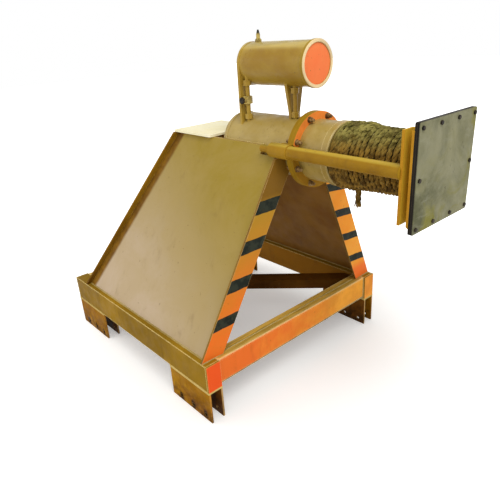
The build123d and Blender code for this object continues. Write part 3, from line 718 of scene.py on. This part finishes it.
FINISHES = {
    "web": web_tan, "stripe": stripe_orange, "pad": pad_mottled, "steel": ground_steel,
    "brass": dull_brass, "rope": straw_rope, "rusty": rusty_steel, "bolt": dark_bolt,
}

# First words of the model's names, and the look that each takes: the first that fits
NODE_LOOKS = (
    ("side_beam_", "beam"), ("beam_end_plates", "end"), ("cross_beam_", "signal"),
    ("plan_brace_", "dark"), ("foot_top_plates", "shoe"), ("foot_front_right_outer", "foot"),
    ("foot_front_left_outer", "foot"), ("foot_rear_right_outer", "foot"),
    ("foot_rear_left_outer", "foot"), ("foot_", "inner"), ("web_", "web"),
    ("front_flange_", "stripe"), ("rear_flange_", "lip"), ("deck_plate", "deck"),
    ("cylinder_barrel", "barrel"), ("barrel_rear_cap", "barrel"), ("barrel_flange", "ochre"),
    ("gland_flange", "ring"), ("gland_sleeve", "barrel"), ("rod_guide_", "rod"),
    ("guide_bracket_", "ochre"), ("guide_rod_", "rod"), ("head_channel_", "channel"),
    ("head_back_plate", "black"), ("buffer_pad", "pad"), ("plunger_tube", "steel"),
    ("tank_shell", "tank"), ("tank_rim", "rim"), ("tank_front_disc", "disc"),
    ("tank_rear_cap", "tank"), ("tank_saddle_", "tank"), ("oil_pipe_", "tank"),
    ("oil_valve", "brass"), ("valve_knob", "bolt"), ("filler_nipple", "brass"),
    ("rope_wrap", "rope"),
)

# Filled by the paint step
materials = {}


class BUFFERSTOP_OT_paint(bpy.types.Operator):
    """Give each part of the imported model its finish"""
    bl_idname = "buffer_stop.paint"
    bl_label = "Paint the parts"

    def execute(self, context):
        materials.update(coats())
        for look, make in FINISHES.items():
            materials[look] = make()
        for name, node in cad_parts.items():
            looks = [look for start, look in NODE_LOOKS if name.startswith(start)]
            if not looks:
                raise RuntimeError("no finish for " + name)
            node.data.materials.clear()
            node.data.materials.append(materials[looks[0]])
        return {"FINISHED"}


class BUFFERSTOP_OT_pad_bolts(bpy.types.Operator):
    """Set ten bolts round the edge of the buffer pad"""
    bl_idname = "buffer_stop.pad_bolts"
    bl_label = "Pad bolts"

    def execute(self, context):
        radius = context.scene.buffer_stop_fastenings.pad_bolt_radius
        inset, aside, head, sunk = 0.016, 0.053, 0.006, 0.0005
        edge = pad_high.y - inset
        places = [(y, z) for y in (-edge, -aside, aside, edge) for z in (-edge, edge)]
        places += [(-edge, 0.0), (edge, 0.0)]
        first_y, first_z = places[0]
        seat = Vector((pad_high.x - sunk, first_y, AXIS_Z + first_z))
        bolts = [hexagon(radius, seat, seat + Vector((head, 0, 0)))]
        for y, z in places[1:]:
            bolts.append(duplicate(bolts[0], Matrix.Translation((0, y - first_y, z - first_z))))
        o = merge("pad_bolts", bolts)
        dress(o, "plunger", materials["bolt"])
        return {"FINISHED"}


class BUFFERSTOP_OT_studs(bpy.types.Operator):
    """Set eight studs with washers and nuts through the two flange rings"""
    bl_idname = "buffer_stop.studs"
    bl_label = "Flange studs"

    def execute(self, context):
        f = context.scene.buffer_stop_fastenings
        studs, washer, nut, past_rear, past_front = 8, 0.0025, 0.011, 0.020, 0.024
        washer_radius, nut_radius = f.stud_radius * 1.95, f.stud_radius * 1.7
        half_step = math.pi / studs
        y = f.stud_circle * math.cos(half_step)
        z = AXIS_Z + f.stud_circle * math.sin(half_step)
        low, high = RINGS_REAR, RINGS_FRONT
        parts = [
            rod(f.stud_radius, (low - past_rear, y, z), (high + past_front, y, z), 12),
            rod(washer_radius, (high, y, z), (high + washer, y, z), 16),
            rod(washer_radius, (low - washer, y, z), (low, y, z), 16),
            hexagon(nut_radius, (high + washer, y, z), (high + washer + nut, y, z)),
            hexagon(nut_radius, (low - washer, y, z), (low - washer - nut, y, z)),
        ]
        sets = [merge("stud_set", parts)]
        middle = Matrix.Translation((0, 0, AXIS_Z))
        for i in range(1, studs):
            turn = Matrix.Rotation(2 * half_step * i, 4, "X")
            sets.append(duplicate(sets[0], middle @ turn @ middle.inverted()))
        o = merge("flange_studs", sets)
        smooth(o, 35)
        dress(o, "frame", materials["rusty"])
        return {"FINISHED"}


class BUFFERSTOP_OT_welds(bpy.types.Operator):
    """Lay the weld beads that show on the frame, the cylinder and the head"""
    bl_idname = "buffer_stop.welds"
    bl_label = "Weld beads"

    def execute(self, context):
        r = context.scene.buffer_stop_fastenings.weld_radius
        barrel_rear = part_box("cylinder_barrel")[0].x
        flange_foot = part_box("front_flange_left")[0].x + 0.0105
        web_foot_end, web_top_end, cross_face = FRONT - 0.042, FRONT - 0.077, FRONT - 0.0105
        flange_inner_end, cross_margin, cross_bottom = 0.452, 0.060, BEAM_TOP - 0.116
        barrel_ring = 0.1165
        frame_beads, head_beads = [], []
        for side in (1, -1):
            # Both faces of the web's foot
            for y in (web_high.y + 0.0005, web_high.y - 0.012):
                start, end = (web_low.x, side * y, BEAM_TOP), (web_foot_end, side * y, BEAM_TOP)
                frame_beads.append(bead(start, end, r))
            # The web's top edge along the barrel
            y, z = side * (web_low.y + 0.001), web_high.z + 0.001
            frame_beads.append(bead((barrel_rear + 0.006, y, z), (web_top_end, y, z), r * 1.1))
            # The front cross beam's end, up the side beam
            y = side * (beam_low.y - 0.0005)
            frame_beads.append(bead((cross_face, y, cross_bottom), (cross_face, y, BEAM_TOP), r))
            # The front flange's foot
            start = (flange_foot, side * (beam_high.y - 0.006), BEAM_TOP)
            end = (flange_foot, side * flange_inner_end, BEAM_TOP)
            frame_beads.append(bead(start, end, r * 0.9))
            # The channel's ends, and the rod where it meets the channel
            x = channel_high.x - 0.001
            for z in (channel_low.z, channel_high.z):
                start, end = (x, side * channel_low.y, z), (x, side * channel_high.y, z)
                head_beads.append(bead(start, end, r))
            head_beads.append(ring_bead((rod_high.x, side * ROD_Y, ROD_Z), rod_high.z - ROD_Z, r))
        for cross in ("cross_beam_front", "cross_beam_rear"):
            cross_low, cross_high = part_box(cross)
            x, y = (cross_low.x + cross_high.x) / 2, cross_high.y - cross_margin
            frame_beads.append(bead((x, -y, BEAM_TOP), (x, y, BEAM_TOP), r * 0.55))
        for x in (barrel_rear, RINGS_REAR):
            frame_beads.append(ring_bead((x, 0, AXIS_Z), barrel_ring, r * 0.8))
        o = merge("frame_welds", frame_beads)
        smooth(o, 60)
        dress(o, "frame", materials["barrel"])
        o = merge("head_welds", head_beads)
        smooth(o, 60)
        dress(o, "plunger", materials["ochre"])
        return {"FINISHED"}


class BUFFERSTOP_OT_edge_bars(bpy.types.Operator):
    """Carry each rear flange out to the beam's face with a bar along its outer edge"""
    bl_idname = "buffer_stop.edge_bars"
    bl_label = "Rear edge bars"

    def execute(self, context):
        cos, sin = math.cos(LEAN), math.sin(LEAN)
        inside = (lip_high.y - web_high.y) * cos
        outside = (beam_high.y - web_high.y) * cos - 0.0005
        plate = web_low.x - lip_low.x - REAR_SLOPE * inside * sin / cos
        spare, chamfer = 0.1, 0.0008
        bars = []
        for side in (1, -1):
            out = Vector((0, side * cos, sin))
            climb = Vector((REAR_SLOPE, -side * sin, cos)).normalized()
            thick = out.cross(climb)
            length = web_rise / climb.z
            foot = Vector((web_low.x - plate / 2, side * web_high.y, BEAM_TOP))
            middle = foot + out * (inside + outside) / 2 + climb * length / 2
            deselect()
            bpy.ops.mesh.primitive_cube_add(size=1)
            o = bpy.context.active_object
            turn = Matrix((climb, thick, out)).transposed().to_4x4()
            size = (length + spare, plate * abs(thick.x), outside - inside, 1.0)
            o.matrix_world = Matrix.Translation(middle) @ turn @ Matrix.Diagonal(size)
            settle(o)
            # Cut level at the beam and at the web's top
            bpy.ops.object.mode_set(mode="EDIT")
            for height, low in ((BEAM_TOP, True), (web_high.z, False)):
                bpy.ops.mesh.select_all(action="SELECT")
                bpy.ops.mesh.bisect(plane_co=(0, 0, height), plane_no=(0, 0, 1), use_fill=True,
                                    clear_inner=low, clear_outer=not low)
            bpy.ops.mesh.select_all(action="SELECT")
            bpy.ops.mesh.bevel(offset=chamfer, segments=1)
            bpy.ops.mesh.select_all(action="SELECT")
            bpy.ops.mesh.normals_make_consistent(inside=False)
            bpy.ops.object.mode_set(mode="OBJECT")
            bars.append(o)
        o = merge("rear_edge_bars", bars)
        dress(o, "frame", materials["lip"])
        return {"FINISHED"}


class BUFFERSTOP_OT_rope(bpy.types.Operator):
    """Wind the three-strand rope on the plunger, with crossing turns at the rim and a loose tail"""
    bl_idname = "buffer_stop.rope"
    bl_label = "Rope"

    def line(self, kind, places):
        """A new curve of one kind through the places."""
        deselect()
        bpy.ops.curve.primitive_nurbs_path_add()
        curve = bpy.context.active_object
        curve.matrix_world = Matrix.Identity(4)
        curve.data.splines.clear()
        spline = curve.data.splines.new(kind)
        spline.points.add(len(places) - 1)
        for point, place in zip(spline.points, places):
            point.co = (*place, 1.0)
        return curve

    def smoothed(self, route):
        """The points of a smooth line along the route."""
        curve = self.line("NURBS", route)
        spline = curve.data.splines[0]
        spline.order_u = 3
        spline.use_endpoint_u = True
        spline.resolution_u = 2
        bpy.context.view_layer.update()
        depsgraph = bpy.context.evaluated_depsgraph_get()
        mesh = bpy.data.meshes.new_from_object(curve.evaluated_get(depsgraph))
        points = [v.co.copy() for v in mesh.vertices]
        bpy.data.meshes.remove(mesh)
        bpy.data.objects.remove(curve)
        return points

    def strands(self, route, settings, bulk=1.0):
        """Three strands twisted round the route."""
        points = self.smoothed(route)
        radius = settings.diameter / 2 * bulk
        made = []
        for strand in range(3):
            run = 0.0
            twisted = []
            for i, p in enumerate(points):
                before, after = points[max(i - 1, 0)], points[min(i + 1, len(points) - 1)]
                if i:
                    run += (p - before).length
                t = (after - before).normalized()
                out = Vector((0, p.y, p.z - AXIS_Z))
                out = (out - t * out.dot(t)).normalized()
                side = t.cross(out)
                a = 2 * math.pi * (run / settings.lay + strand / 3)
                twisted.append(p + (out * math.cos(a) + side * math.sin(a)) * radius * 0.50)
            coil = self.line("POLY", twisted)
            coil.data.bevel_depth = radius * 0.54
            coil.data.bevel_resolution = 1
            coil.data.use_fill_caps = True
            pick(coil)
            bpy.ops.object.convert(target="MESH")
            made.append(bpy.context.active_object)
        return made

    def execute(self, context):
        g = context.scene.buffer_stop_rope
        draw = random.Random(g.seed)
        r = g.diameter / 2
        bed = 0.0863
        inner = bed + r
        length = ROPE_END - ROPE_START - g.diameter
        steps = 28

        def around(x, radius, a):
            return x, radius * math.cos(a), AXIS_Z + radius * math.sin(a)

        # Main winding, thick at the rim and thin at the head
        drift = [draw.uniform(-1, 1) * g.wander for _ in range(g.turns + 2)]
        lift = [draw.uniform(0.0, 1) * 0.003 for _ in range(g.turns + 2)]
        main = []
        for i in range(g.turns * steps + 1):
            turn = i / steps
            share = turn / g.turns
            k = int(turn)
            part = turn - k
            stray = drift[k] * (1 - part) + drift[k + 1] * part
            up = lift[k] * (1 - part) + lift[k + 1] * part
            radius = inner + 0.015 * (1 - share) ** 0.7 + up
            x = ROPE_START + r + length * share + stray * min(1.0, 4 * share, 4 * (1 - share))
            main.append(around(x, radius, 2 * math.pi * turn + 0.6))
        parts = self.strands(main, g)

        # Crossing turns near the rim, laid back over the first ones
        crossing = 5
        over = []
        for i in range(crossing * steps + 1):
            turn = i / steps
            a = 2 * math.pi * turn + 2.1
            x = ROPE_START + 0.022 + 0.072 * turn / crossing + 0.014 * math.sin(a + 0.7)
            over.append(around(x, inner + 0.0185 + 0.0020 * math.sin(1.7 * a), a))
        parts += self.strands(over, g)

        # Loose tail under the plunger, with a frayed end
        start = Vector((ROPE_START + 0.080, -0.035, AXIS_Z - 0.105))
        hang = Vector((0.004, -0.004, -0.045))
        parts += self.strands([start + hang * i / 8 for i in range(9)], g, 1.1)
        end = start + hang
        fibres, fibre_radius, root = 40, 0.0014, Vector((0, 0, 0.010))
        for i in range(fibres):
            a, spread = draw.uniform(0, 2 * math.pi), draw.uniform(0.0, 0.007)
            out = Vector((math.cos(a), math.sin(a), 0))
            near = draw.uniform(0.001, 0.009)
            drop = draw.uniform(0.016, 0.028)
            tip = end + out * (near + spread) - Vector((0, 0, drop))
            parts.append(rod(fibre_radius, end + out * near + root, tip, 5))

        # First layer, seen only between the turns
        core_radius, taper = 0.100, 0.09
        deselect()
        bpy.ops.mesh.primitive_cylinder_add(
            vertices=48, radius=core_radius, depth=length, end_fill_type="NOTHING",
            location=(ROPE_START + r + length / 2, 0, AXIS_Z), rotation=(0, math.pi / 2, 0))
        core = bpy.context.active_object
        bpy.ops.object.mode_set(mode="EDIT")
        bpy.ops.mesh.select_all(action="SELECT")
        bpy.ops.mesh.subdivide(number_cuts=1)
        bpy.ops.object.mode_set(mode="OBJECT")
        settle(core)
        for v in core.data.vertices:
            k = 1 - taper * (v.co.x - ROPE_START) / (ROPE_END - ROPE_START)
            v.co.y *= k
            v.co.z = AXIS_Z + (v.co.z - AXIS_Z) * k
        parts.append(core)
        o = merge("rope", parts)
        smooth(o, 60)
        dress(o, "frame", materials["rope"])
        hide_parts("rope_wrap")
        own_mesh(o)
        return {"FINISHED"}


class BUFFERSTOP_OT_stage(bpy.types.Operator):
    """Lay the floor, light the scene and set the camera"""
    bl_idname = "buffer_stop.stage"
    bl_label = "Stage"

    def seen(self, tree):
        """One for the rays that show the background: camera, glossy and transmission."""
        path = tree.nodes.new("ShaderNodeLightPath")
        rays = path.outputs["Is Camera Ray"]
        for kind in ("Is Glossy Ray", "Is Transmission Ray"):
            both = tree.nodes.new("ShaderNodeMath")
            both.operation = "ADD"
            both.use_clamp = True
            tree.links.new(rays, both.inputs[0])
            tree.links.new(path.outputs[kind], both.inputs[1])
            rays = both.outputs["Value"]
        return rays

    def lay_floor(self):
        """A pale floor that keeps the shadow and fades to white away from the object."""
        deselect()
        bpy.ops.mesh.primitive_plane_add(size=40, location=(0, 0, -0.0002))
        floor = bpy.context.active_object
        floor.name = "floor"
        s = Shader("pale_floor")
        s.finish((0.93, 0.93, 0.93, 1.0), 0.8)
        s.bsdf.inputs["Emission Color"].default_value = (1.0, 1.0, 1.0, 1.0)
        x, y, z = s.axes()
        fade = s.span(s.reach(x, y), 0.6, 2.2, 0.28, 1.0)
        s.link(s.math("MULTIPLY", fade, self.seen(s.tree)), s.bsdf.inputs["Emission Strength"])
        floor.data.materials.append(s.material)

    def light_sky(self, scene, strength):
        """An even light that shows as plain white."""
        world = bpy.data.worlds.new("even_sky")
        scene.world = world
        world.use_nodes = True
        tree = world.node_tree
        sky = tree.nodes["Background"]
        sky.inputs["Color"].default_value = (1.0, 0.99, 0.97, 1.0)
        sky.inputs["Strength"].default_value = strength
        white = tree.nodes.new("ShaderNodeBackground")
        white.inputs["Color"].default_value = (1, 1, 1, 1)
        white.inputs["Strength"].default_value = 1.0
        blend = tree.nodes.new("ShaderNodeMixShader")
        tree.links.new(self.seen(tree), blend.inputs["Fac"])
        tree.links.new(sky.outputs["Background"], blend.inputs[1])
        tree.links.new(white.outputs["Background"], blend.inputs[2])
        tree.links.new(blend.outputs["Shader"], tree.nodes["World Output"].inputs["Surface"])

    def hang_lamps(self, key, fill):
        target = Vector((0.0, 0.0, 0.75))
        for name, place, size, power in (
            ("key_lamp", (2.6, -1.2, 4.2), 2.6, key),
            ("fill_lamp", (-2.4, -3.6, 2.4), 3.0, fill),
        ):
            deselect()
            aim = (target - Vector(place)).to_track_quat("-Z", "Y").to_euler()
            bpy.ops.object.light_add(type="AREA", location=place, rotation=aim)
            lamp = bpy.context.active_object
            lamp.name = name
            lamp.data.shape = "DISK"
            lamp.data.size = size
            lamp.data.energy = power
            lamp.data.color = (1.0, 0.975, 0.93)

    def set_camera(self, scene):
        """The camera as fitted to the photograph's view."""
        deselect()
        bpy.ops.object.camera_add()
        camera = bpy.context.active_object
        camera.name = "camera"
        place = Vector((1.658, -1.461, 1.497))
        right = Vector((0.6694, 0.7406, -0.0592))
        ahead = Vector((-0.6950, 0.5961, -0.4021)).normalized()
        up = right.cross(ahead).normalized()
        right = ahead.cross(up).normalized()
        turn = Matrix((right, up, -ahead)).transposed().to_4x4()
        camera.matrix_world = Matrix.Translation(place) @ turn
        camera.data.lens = 35.72
        camera.data.sensor_width = 36.0
        camera.data.dof.use_dof = False
        scene.camera = camera

    def execute(self, context):
        g = context.scene.buffer_stop_stage
        self.lay_floor()
        self.light_sky(context.scene, g.sky)
        self.hang_lamps(g.key, g.fill)
        self.set_camera(context.scene)
        context.scene.view_settings.view_transform = "Standard"
        return {"FINISHED"}


GROUPS = {
    "buffer_stop_paint": BufferStopPaint,
    "buffer_stop_fastenings": BufferStopFastenings,
    "buffer_stop_rope": BufferStopRope,
    "buffer_stop_stage": BufferStopStage,
}
STEPS = (BUFFERSTOP_OT_paint, BUFFERSTOP_OT_pad_bolts, BUFFERSTOP_OT_studs, BUFFERSTOP_OT_welds,
         BUFFERSTOP_OT_edge_bars, BUFFERSTOP_OT_rope, BUFFERSTOP_OT_stage)


class BUFFERSTOP_PT_panel(bpy.types.Panel):
    """Settings and steps of the buffer stop"""
    bl_idname = "BUFFERSTOP_PT_panel"
    bl_label = "Buffer Stop"
    bl_space_type = "VIEW_3D"
    bl_region_type = "UI"
    bl_category = "Buffer Stop"

    def draw(self, context):
        for name in GROUPS:
            group = getattr(context.scene, name)
            box = self.layout.box()
            for key in group.bl_rna.properties.keys():
                if key not in ("rna_type", "name"):
                    box.prop(group, key)
        for step in STEPS:
            self.layout.operator(step.bl_idname)


CLASSES = (*GROUPS.values(), *STEPS, BUFFERSTOP_PT_panel)


def register():
    for c in CLASSES:
        bpy.utils.register_class(c)
    for name, group in GROUPS.items():
        setattr(bpy.types.Scene, name, bpy.props.PointerProperty(type=group))


def unregister():
    for name in GROUPS:
        delattr(bpy.types.Scene, name)
    for c in reversed(CLASSES):
        bpy.utils.unregister_class(c)


def main():
    register()
    bpy.ops.buffer_stop.paint()
    bpy.ops.buffer_stop.pad_bolts()
    bpy.ops.buffer_stop.studs()
    bpy.ops.buffer_stop.welds()
    bpy.ops.buffer_stop.edge_bars()
    bpy.ops.buffer_stop.rope()
    bpy.ops.buffer_stop.stage()
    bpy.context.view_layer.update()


if __name__ == "__main__":
    main()
